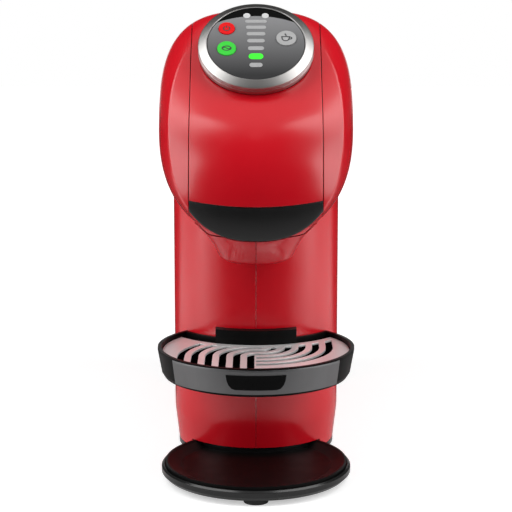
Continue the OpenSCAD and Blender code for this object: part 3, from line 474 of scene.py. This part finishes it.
def lathe(name, profile, sides=360):
    """Closed profile of (radius, height) points, turned round Z."""
    n = len(profile)
    turns = [math.tau * i / sides for i in range(sides)]
    points = [(r * math.cos(a), r * math.sin(a), z) for a in turns for r, z in profile]
    faces = []
    for i in range(sides):
        here, ahead = i * n, (i + 1) % sides * n
        for j in range(n):
            k = (j + 1) % n
            faces.append((here + j, ahead + j, ahead + k, here + k))
    piece = mesh_object(name, points, faces)
    fix_normals(piece)
    return piece


def ribbon(name, line, width, low, high, closed=False):
    """Flat stroke of one width along a line of points."""
    n = len(line)
    points = []
    for i, (x, y) in enumerate(line):
        before = line[i - 1] if closed or i else line[0]
        after = line[(i + 1) % n] if closed or i < n - 1 else line[-1]
        along = Vector((after[0] - before[0], after[1] - before[1])).normalized()
        for side, z in ((-1, low), (1, low), (1, high), (-1, high)):
            points.append((x - along.y * side * width / 2, y + along.x * side * width / 2, z))
    faces = []
    for i in range(n if closed else n - 1):
        here, ahead = 4 * i, 4 * ((i + 1) % n)
        for j in range(4):
            k = (j + 1) % 4
            faces.append((here + j, here + k, ahead + k, ahead + j))
    if not closed:
        faces += [(0, 1, 2, 3), (4 * n - 4, 4 * n - 1, 4 * n - 2, 4 * n - 3)]
    piece = mesh_object(name, points, faces)
    fix_normals(piece)
    return piece


def arc(x, y, rx, ry, start, end, count=33):
    """Points along part of an oval, angles in degrees."""
    turns = steps(math.radians(start), math.radians(end), count)
    return [(x + rx * math.cos(a), y + ry * math.sin(a)) for a in turns]


def wave(x, y, length, count, depth, upright):
    """One period of a wave that starts at a point, along X or upright."""
    line = [(length * k, depth * math.sin(math.tau * k)) for k in steps(0, 1, count)]
    return [(x + v, y + u) if upright else (x + u, y + v) for u, v in line]


def build_dial_ring():
    """Bevelled ring with two turned grooves round its side."""
    r_in, r_out, low = RING_BORE, DIAL_D / 2, -DIAL_H - 0.2
    floor = r_out - 0.35
    profile = [(r_in, low), (r_out - 0.8, low), (r_out - 0.3, low + 0.6), (r_out, low + 0.8)]
    for at in (-4.6, -3.2):
        profile += [(r_out, at - 0.3), (floor, at - 0.15), (floor, at + 0.15), (r_out, at + 0.3)]
    profile += [(r_out, -2.3), (r_out - 0.15, -1.95), (r_out - 0.6, -1.66)]
    profile += [(r_in + 0.75, -0.16), (r_in + 0.4, 0.0), (r_in + 0.12, -0.06), (r_in, -0.3)]
    ring = lathe("dial_metal_ring", profile)
    for polygon in ring.data.polygons:
        polygon.use_smooth = True
    ring.data.set_sharp_from_angle(angle=math.radians(25))
    on_dial(ring)
    finish_piece(ring, dial_metal(), "dial", "dial_metal", "dial_ring")


def build_icons():
    """A generic mark on each of the three buttons."""
    low, high, width = 0.06, 0.18, 0.62
    x, y = POWER_AT
    marks = [("power_arc", "power_key", arc(x, y - 0.2, 1.75, 1.75, 125, 415), False)]
    marks += [("power_stroke", "power_key", [(x, y + 0.1), (x, y + 2.0)], False)]
    x, y = BOOST_AT
    marks += [("bean_outline", "boost_key", arc(x, y, 2.5, 1.65, 0, 360)[:-1], True)]
    marks += [("bean_crease", "boost_key", wave(x - 2.2, y, 4.4, 17, 0.55, False), False)]
    x, y = CUP_AT
    cup = [(x - 2.6, y + 0.9)] + arc(x - 0.4, y - 0.5, 1.9, 1.7, 190, 350) + [(x + 1.8, y + 0.9)]
    marks += [("cup_bowl", "cup_key", cup, False)]
    marks += [("cup_rim", "cup_key", [(x - 2.9, y + 1.0), (x + 2.1, y + 1.0)], False)]
    marks += [("cup_handle", "cup_key", arc(x + 1.9, y - 0.1, 1.2, 0.8, 80, -95, 15), False)]
    marks += [("cup_steam", "cup_key", wave(x - 0.4, y + 1.7, 1.7, 13, 0.35, True), False)]
    for name, body, line, closed in marks:
        mark = on_dial(ribbon(name, line, width, low, high, closed))
        finish_piece(mark, icon_ink(), body, "black_matte")


def finish_piece(piece, material, body, slot, *replaced):
    piece.data.materials.clear()
    piece.data.materials.append(material)
    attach(piece, body)
    if replaced:
        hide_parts(*replaced)
    return piece


# ---------- materials ----------


class Finish:
    """A material whose nodes are added one after another."""

    made = {}

    def __init__(self, name, base, roughness, metallic=0.0, **sockets):
        self.material = bpy.data.materials.new(name)
        self.material.use_nodes = True
        self.tree = self.material.node_tree
        self.shader = self.tree.nodes["Principled BSDF"]
        self.put("Base Color", (*base, 1.0))
        self.put("Roughness", roughness)
        self.put("Metallic", metallic)
        for socket, value in sockets.items():
            self.put(socket.replace("_", " "), value)
        self.base, self.roughness = base, roughness
        self.place = self.node("ShaderNodeTexCoord").outputs["Object"]

    def put(self, socket, value):
        self.shader.inputs[socket].default_value = value

    def node(self, kind, links=None, **settings):
        made = self.tree.nodes.new(kind)
        for key, value in settings.items():
            setattr(made, key, value)
        for socket, value in (links or {}).items():
            if isinstance(value, bpy.types.NodeSocket):
                self.tree.links.new(value, made.inputs[socket])
            else:
                made.inputs[socket].default_value = value
        return made

    def noise(self, scale, detail=3.0, stretch=(1, 1, 1), place=None):
        spot = self.node("ShaderNodeMapping", {0: place or self.place, "Scale": stretch}).outputs[0]
        links = {"Vector": spot, "Scale": scale, "Detail": detail}
        return self.node("ShaderNodeTexNoise", links).outputs[0]

    def spread(self, value, low, high, start=0.3, end=0.7):
        links = {0: value, 1: start, 2: end, 3: low, 4: high}
        return self.node("ShaderNodeMapRange", links).outputs[0]

    def maths(self, operation, *values):
        return self.node("ShaderNodeMath", dict(enumerate(values)), operation=operation).outputs[0]

    def blend(self, factor, a, b):
        """Colour a where factor is 0, and b where it is 1."""
        made = self.node("ShaderNodeMix", {0: factor, 6: a, 7: b}, data_type="RGBA")
        return made.outputs[2]

    def distance(self, a, b):
        """Length of the step that goes a across and b along."""
        squares = [self.maths("MULTIPLY", value, value) for value in (a, b)]
        return self.maths("SQRT", self.maths("ADD", *squares))

    def link(self, value, socket):
        self.tree.links.new(value, self.shader.inputs[socket])
        return self

    def vary_roughness(self, scale, amount, detail=4.0, stretch=(1, 1, 1)):
        low, high = self.roughness - amount, self.roughness + amount
        return self.link(self.spread(self.noise(scale, detail, stretch), low, high), "Roughness")

    def vary_colour(self, scale, amount, stretch=(1, 1, 1)):
        dark = (*[c * (1 - amount) for c in self.base], 1)
        light = (*[min(1, c * (1 + amount)) for c in self.base], 1)
        factor = self.spread(self.noise(scale, 4.0, stretch), 0, 1)
        return self.link(self.blend(factor, dark, light), "Base Color")

    def bump(self, layers, edge=0.0):
        """Relief from (noise output, height in mm) layers, over edges eased by a radius in mm."""
        normal = None
        if edge:
            normal = self.node("ShaderNodeBevel", {"Radius": edge * MM}, samples=6).outputs[0]
        for height, depth in layers:
            links = {"Height": height, "Distance": depth * MM, "Strength": 1.0}
            if normal is not None:
                links["Normal"] = normal
            normal = self.node("ShaderNodeBump", links).outputs[0]
        if normal is not None:
            self.link(normal, "Normal")
        return self


def shared(maker):
    """Each material is made once."""

    def once():
        if maker.__name__ not in Finish.made:
            Finish.made[maker.__name__] = maker().material
        return Finish.made[maker.__name__]

    return once


@shared
def red_plastic():
    f = Finish("red_plastic", (0.57, 0.003, 0.011), 0.22, Specular_IOR_Level=0.66)
    f.vary_roughness(60, 0.025).vary_colour(9, 0.03)
    return f.bump([(f.noise(900, 2.0), 0.0016), (f.noise(70, 1.0), 0.003)], edge=0.45)


@shared
def black_gloss():
    f = Finish("black_gloss", (0.012, 0.012, 0.012), 0.20, Specular_IOR_Level=0.45)
    f.vary_roughness(80, 0.03).vary_colour(14, 0.15)
    return f.bump([(f.noise(1000, 2.0), 0.0018), (f.noise(90, 2.0), 0.005)], edge=0.35)


@shared
def black_matte():
    f = Finish("black_matte", (0.026, 0.026, 0.028), 0.46)
    f.vary_roughness(120, 0.06).vary_colour(20, 0.15)
    return f.bump([(f.noise(2600, 2.0), 0.012)], edge=0.3)


@shared
def grey_frame():
    f = Finish("grey_frame", (0.12, 0.12, 0.125), 0.5)
    f.vary_roughness(120, 0.06).vary_colour(20, 0.1)
    return f.bump([(f.noise(2200, 2.0), 0.012)], edge=0.3)


@shared
def tray_black():
    f = Finish("tray_black", (0.004, 0.004, 0.004), 0.40, Specular_IOR_Level=0.06)
    f.vary_roughness(80, 0.03).vary_colour(14, 0.15)
    return f.bump([(f.noise(1000, 2.0), 0.0018), (f.noise(90, 2.0), 0.004)], edge=0.35)


@shared
def rubber():
    f = Finish("rubber", (0.016, 0.016, 0.016), 0.72)
    f.vary_roughness(90, 0.08).vary_colour(30, 0.2)
    return f.bump([(f.noise(1800, 3.0), 0.02)])


@shared
def dial_metal():
    f = Finish("dial_metal", (0.44, 0.43, 0.42), 0.33, 1.0, Anisotropic=0.5)
    tangent = f.node("ShaderNodeTangent", direction_type="RADIAL", axis="Z").outputs[0]
    f.link(tangent, "Tangent")
    local = f.node("ShaderNodeSeparateXYZ", {0: f.place}).outputs
    away = f.distance(local[0], local[1])
    turned = f.node("ShaderNodeCombineXYZ", {0: away, 1: local[2]}).outputs[0]
    lines = f.noise(9000, 2.0, (1, 1, 0), turned)
    f.link(f.spread(lines, 0.28, 0.38), "Roughness")
    return f.bump([(lines, 0.0012)], edge=0.15)


@shared
def icon_ink():
    f = Finish("icon_ink", (0.03, 0.03, 0.032), 0.45)
    f.vary_roughness(300, 0.05)
    return f.bump([(f.noise(2000, 2.0), 0.001)])


@shared
def band_metal():
    f = Finish("band_metal", (0.18, 0.18, 0.183), 0.34, 0.9)
    f.vary_roughness(300, 0.06, stretch=(1, 1, 0.15)).vary_colour(60, 0.06, (1, 1, 0.2))
    return f.bump([(f.noise(1500, 2.0, (0.1, 0.1, 1)), 0.002)], edge=0.3)


@shared
def grid_steel():
    f = Finish("grid_steel", (0.86, 0.86, 0.86), 0.40, 0.6)
    f.vary_roughness(300, 0.05, stretch=(0.1, 1, 1))
    return f.bump([(f.noise(1200, 2.0, (0.05, 1, 1)), 0.0015)], edge=0.3)


@shared
def steel():
    f = Finish("steel", (0.56, 0.56, 0.57), 0.28, 1.0)
    f.vary_roughness(300, 0.06, stretch=(0.1, 1, 1)).vary_colour(60, 0.05)
    return f.bump([(f.noise(1600, 2.0, (0.1, 1, 1)), 0.002)])


@shared
def brass():
    f = Finish("brass", (0.72, 0.50, 0.20), 0.3, 1.0)
    f.vary_roughness(240, 0.06).vary_colour(60, 0.08)
    return f.bump([(f.noise(1600, 2.0, (1, 1, 0.1)), 0.002)])


@shared
def heater_alloy():
    f = Finish("heater_alloy", (0.6, 0.6, 0.61), 0.5, 1.0)
    f.vary_roughness(160, 0.1).vary_colour(40, 0.08)
    return f.bump([(f.noise(700, 4.0), 0.06)])


@shared
def silicone_hose():
    f = Finish("silicone_hose", (0.78, 0.77, 0.72), 0.4, Subsurface_Weight=0.1)
    f.vary_roughness(90, 0.05).vary_colour(30, 0.04)
    return f.bump([(f.noise(400, 2.0), 0.01)])


@shared
def pump_plastic():
    f = Finish("pump_plastic", (0.76, 0.72, 0.60), 0.5)
    f.vary_roughness(90, 0.06).vary_colour(30, 0.05)
    return f.bump([(f.noise(1500, 3.0), 0.015)], edge=0.2)


@shared
def coil_frame():
    f = Finish("coil_frame", (0.07, 0.09, 0.09), 0.42, 0.4)
    f.vary_roughness(90, 0.08).vary_colour(30, 0.1)
    return f.bump([(f.noise(1500, 3.0), 0.02)], edge=0.2)


@shared
def board_green():
    f = Finish("board_green", (0.015, 0.10, 0.04), 0.35)
    f.vary_roughness(160, 0.08).vary_colour(160, 0.25)
    return f.bump([(f.noise(900, 4.0), 0.03)])


@shared
def board_parts():
    f = Finish("board_parts", (0.09, 0.09, 0.11), 0.4)
    f.vary_roughness(160, 0.08).vary_colour(50, 0.3)
    return f.bump([(f.noise(1500, 3.0), 0.01)], edge=0.2)


@shared
def tank_clear():
    f = Finish("tank_clear", (0.55, 0.58, 0.60), 0.08, Transmission_Weight=0.92, IOR=1.5)
    f.vary_roughness(50, 0.03)
    return f.bump([(f.noise(60, 2.0), 0.01)])


def dial_place(finish):
    """Coordinates on the dial's face, in metres: across, up the slope, and along its axis."""
    links = {
        0: finish.place,
        "Location": DIAL_TOP * MM,
        "Rotation": (math.pi / 2 - DIAL_TILT, 0, 0),
    }
    return finish.node("ShaderNodeMapping", links, vector_type="TEXTURE").outputs[0]


@shared
def display_face():
    """Glossy black panel painted with a reflection: a grey painted sheen that lightens up its slope,
    and a black crescent of painted reflection over an arc at its rear.
    """
    f = Finish("display_face", (0.07, 0.07, 0.075), 0.2, Specular_IOR_Level=0.08)
    f.vary_roughness(120, 0.03)
    local = f.node("ShaderNodeSeparateXYZ", {0: dial_place(f)}).outputs
    # Painted reflection: the panel is coloured black beyond this arc, at its rear.
    arc_r, arc_t = 50.5, -29.1
    up = f.maths("ADD", local[1], -arc_t * MM)
    away = f.distance(local[0], up)
    crescent = f.spread(away, 0, 1, (arc_r - 0.1) * MM, (arc_r + 0.1) * MM)
    # Painted sheen: grey that lightens up the slope and stands in for reflected light.
    slope = f.spread(local[1], 0, 1, -24 * MM, 20 * MM)
    painted_sheen_grey = f.blend(slope, (0.035, 0.035, 0.036, 1), (0.225, 0.225, 0.23, 1))
    f.link(f.blend(crescent, painted_sheen_grey, (0.0015, 0.0015, 0.0015, 1)), "Base Color")
    return f.bump([(f.noise(1800, 2.0), 0.001)], edge=0.2)


@shared
def level_bars():
    """Pale windows, one of them lit."""
    pale = (0.36, 0.36, 0.363)
    f = Finish("level_bars", pale, 0.3)
    local = f.node("ShaderNodeSeparateXYZ", {0: dial_place(f)}).outputs
    row = 5
    lit_at = 17.2 - 4.5 * row - 0.19 * row**2
    off = f.maths("ABSOLUTE", f.maths("ADD", local[1], -lit_at * MM))
    lit = f.spread(off, 1, 0, 2.6 * MM, 2.9 * MM)
    f.link(f.blend(lit, (*pale, 1), (0.02, 0.62, 0.02, 1)), "Base Color")
    f.put("Emission Color", (0.05, 1.0, 0.02, 1))
    f.link(f.maths("MULTIPLY", lit, 0.55), "Emission Strength")
    f.vary_roughness(200, 0.04)
    return f.bump([(f.noise(1800, 2.0), 0.001)])


def lit_key(name, base, glow, strength):
    f = Finish(name, base, 0.28, Specular_IOR_Level=0.2)
    f.put("Emission Color", (*glow, 1))
    f.put("Emission Strength", strength)
    f.vary_roughness(150, 0.04).vary_colour(200, 0.06)
    return f.bump([(f.noise(1500, 2.0), 0.001)], edge=0.25)


@shared
def key_red():
    return lit_key("key_red", (0.58, 0.003, 0.005), (1.0, 0.01, 0.01), 0.14)


@shared
def key_green():
    return lit_key("key_green", (0.04, 0.48, 0.04), (0.05, 1.0, 0.09), 0.12)


@shared
def key_grey():
    return lit_key("key_grey", (0.36, 0.36, 0.36), (0.5, 0.5, 0.5), 0.03)


@shared
def lamp_white():
    return lit_key("lamp_white", (0.56, 0.56, 0.56), (0.8, 0.8, 0.8), 0.05)


FINISHES = {
    "black_gloss": black_gloss,
    "black_matte": black_matte,
    "grey_frame": grey_frame,
    "rubber": rubber,
    "red_gloss": red_plastic,
    "dial_metal": dial_metal,
    "band_metal": band_metal,
    "grid_steel": grid_steel,
    "steel": steel,
    "brass": brass,
    "heater_alloy": heater_alloy,
    "silicone_hose": silicone_hose,
    "pump_plastic": pump_plastic,
    "coil_frame": coil_frame,
    "board_green": board_green,
    "board_parts": board_parts,
    "display_dark": display_face,
    "bar_light": level_bars,
    "key_red": key_red,
    "key_green": key_green,
    "key_grey": key_grey,
    "tank_clear": tank_clear,
}

# Nodes whose finish differs from the rest of their slot
OWN_FINISHES = {
    "drip_tray": tray_black,
    "base_dish": tray_black,
    "badge_plate": tray_black,
    "status_lamps": lamp_white,
}


def dress_frame():
    """Gives every node of the frame the finish of its material slot."""
    for part in frame["record"]["subparts"]:
        node = NODES[part["node"]]
        finish = OWN_FINISHES.get(part["node"], FINISHES[part["material_slot"]])()
        if not node.material_slots:
            node.data.materials.append(finish)
        for place in node.material_slots:
            place.material = finish


# ---------- stage ----------


def build_stage():
    """Floor that the camera sees white, with the machine's shadow on it.

    Mirrored rays see it white well to the sides, half as bright near the machine and
    straight behind it, and dark in the sectors between and in front.
    """
    reach = 3.0 / MM
    corners = [(-reach, -reach, 0), (reach, -reach, 0), (reach, reach, 0), (-reach, reach, 0)]
    floor = mesh_object("floor", corners, [(0, 1, 2, 3)])
    white, glow = (0.82, 0.82, 0.82), 0.48
    pale = Finish("pale_floor", white, 0.7, Specular_IOR_Level=0.1)
    local = pale.node("ShaderNodeSeparateXYZ", {0: pale.place}).outputs
    side = pale.maths("ABSOLUTE", local[0])
    ratio = pale.maths("DIVIDE", local[1], pale.maths("ADD", side, 0.01))
    beside, behind = pale.spread(ratio, 1, 0, 0.60, 0.85), pale.spread(ratio, 0, 1, 3.5, 5.5)
    lit = pale.maths("MAXIMUM", beside, behind)
    lit = pale.maths("MULTIPLY", lit, pale.spread(side, 0.45, 1.0, 0.26, 0.40))
    front = pale.spread(local[1], 0, 1, -0.42, -0.19)
    ray = pale.node("ShaderNodeLightPath").outputs
    mirrored = pale.maths("MAXIMUM", ray["Is Glossy Ray"], ray["Is Transmission Ray"])
    unlit = pale.maths("MULTIPLY", mirrored, pale.maths("SUBTRACT", 1.0, lit))
    level = pale.maths("MULTIPLY", front, pale.maths("SUBTRACT", 1.0, unlit))
    pale.link(pale.blend(level, (0.06, 0.06, 0.06, 1), (*white, 1)), "Base Color")
    far = pale.maths("MAXIMUM", side, pale.maths("ABSOLUTE", local[1]))
    near = pale.maths("MULTIPLY", front, pale.spread(far, 1, 0, 0.25, 0.8))
    direct = pale.maths("MULTIPLY", ray["Is Camera Ray"], pale.spread(near, 1.0, glow, 0, 1))
    in_mirror = pale.maths("MULTIPLY", mirrored, pale.maths("MULTIPLY", level, 0.42))
    pale.put("Emission Color", (1, 1, 1, 1))
    pale.link(pale.maths("ADD", direct, in_mirror), "Emission Strength")
    pale.bump([(pale.noise(30, 2.0), 0.02)])
    floor.data.materials.append(pale.material)


def soft_light(name, at, aim, width, height, power):
    lamp = bpy.data.lights.new(name, "AREA")
    lamp.shape = "RECTANGLE"
    lamp.size, lamp.size_y = width, height
    lamp.energy = power
    holder = bpy.data.objects.new(name, lamp)
    holder.location = at
    holder.rotation_euler = (Vector(aim) - Vector(at)).to_track_quat("-Z", "Y").to_euler()
    bpy.context.scene.collection.objects.link(holder)


def build_world():
    """White to the camera. Else white straight behind, pale overhead and dim all round."""
    world = bpy.data.worlds.new("studio")
    world.use_nodes = True
    tree = world.node_tree

    def node(kind, links, **settings):
        made = tree.nodes.new(kind)
        for key, value in settings.items():
            setattr(made, key, value)
        for socket, value in links.items():
            if isinstance(value, bpy.types.NodeSocket):
                tree.links.new(value, made.inputs[socket])
            else:
                made.inputs[socket].default_value = value
        return made

    place = node("ShaderNodeTexCoord", {}).outputs["Generated"]
    parts = node("ShaderNodeSeparateXYZ", {0: place}).outputs
    around = node("ShaderNodeMapRange", {0: parts[1], 1: -1.0, 2: 1.0}).outputs[0]
    ramp = node("ShaderNodeValToRGB", {0: around})
    stops = [(0.0, 0.05), (0.2, 0.07), (0.45, 0.08), (0.6, 0.06)]
    stops += [(0.9, 0.04), (0.975, 0.08), (0.985, 1.0)]
    while len(ramp.color_ramp.elements) < len(stops):
        ramp.color_ramp.elements.new(0.5)
    for stop, (where, level) in zip(ramp.color_ramp.elements, stops):
        stop.position = where
        stop.color = (level, level, level, 1)
    above = node("ShaderNodeMapRange", {0: parts[2], 1: 0.80, 2: 0.97}).outputs[0]
    overhead = {0: above, 6: ramp.outputs[0], 7: (0.62, 0.62, 0.62, 1)}
    sky = node("ShaderNodeMix", overhead, data_type="RGBA").outputs[2]
    ray = node("ShaderNodeLightPath", {}).outputs
    seen = {0: ray["Is Camera Ray"], 6: sky, 7: (1, 1, 1, 1)}
    backdrop = node("ShaderNodeMix", seen, data_type="RGBA").outputs[2]
    tree.links.new(backdrop, tree.nodes["Background"].inputs[0])
    bpy.context.scene.world = world


def build_lights():
    aim = (0, -0.05, 0.13)
    for side, name in ((-1, "left"), (1, "right")):
        soft_light(name + "_tall_box", (side * 0.78, -0.37, 0.60), aim, 0.75, 1.7, 13.5)


def build_camera():
    distance, height, dip, focal = 1.0, 0.295, math.radians(10.27), 111.6
    lens = bpy.data.cameras.new("camera")
    lens.lens = focal
    lens.sensor_width = 36.0
    holder = bpy.data.objects.new("camera", lens)
    holder.location = (0, -distance, height)
    holder.rotation_euler = (math.pi / 2 - dip, 0, 0)
    bpy.context.scene.collection.objects.link(holder)
    bpy.context.scene.camera = holder


build_camera()
build_stage()
build_world()
build_lights()
dress_frame()
build_red_skins()
build_dial_ring()
build_icons()

for scrap in scraps:
    bpy.data.objects.remove(scrap)
bpy.context.scene.view_settings.view_transform = "Standard"
